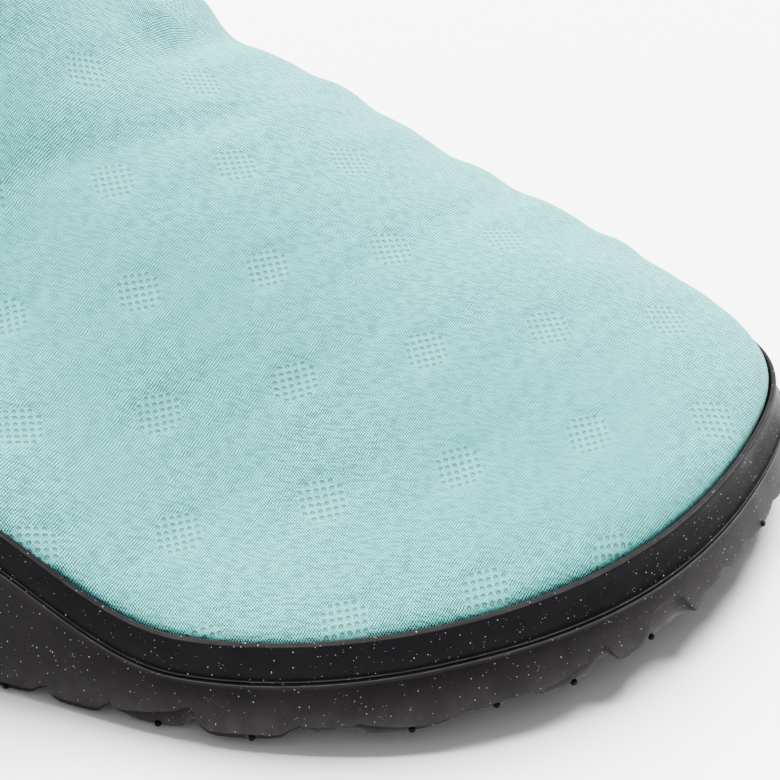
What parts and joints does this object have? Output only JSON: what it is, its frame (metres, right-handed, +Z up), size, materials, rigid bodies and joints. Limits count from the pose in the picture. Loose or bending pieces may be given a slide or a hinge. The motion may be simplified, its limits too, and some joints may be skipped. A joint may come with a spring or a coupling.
{
  "type": "slip-on sneaker",
  "caption": "Low slip-on sneaker for the right foot: padded, perforated fabric upper with a plain collar, on a lugged rubber sole whose smooth side band sweeps down to the toes.",
  "frame": {"origin": "middle of the shoe's box, on the ground under the sole", "axes": "+X from the heel towards the toe, +Y towards the inner side of the foot, +Z up"},
  "size_m": [0.3044, 0.1118, 0.078],
  "materials": {
    "outsole_rubber": "moulded, speckled black rubber",
    "band_rubber": "smooth, slightly glossy black rubber",
    "upper_fabric": "pale mint padded fabric with clusters of fine perforations",
    "insole_fabric": "matt textile over foam"
  },
  "bodies": {
    "root": {"outsole": "outsole_rubber", "side_band": "band_rubber", "upper": "upper_fabric", "insole": "insole_fabric"}
  },
  "joints": []
}
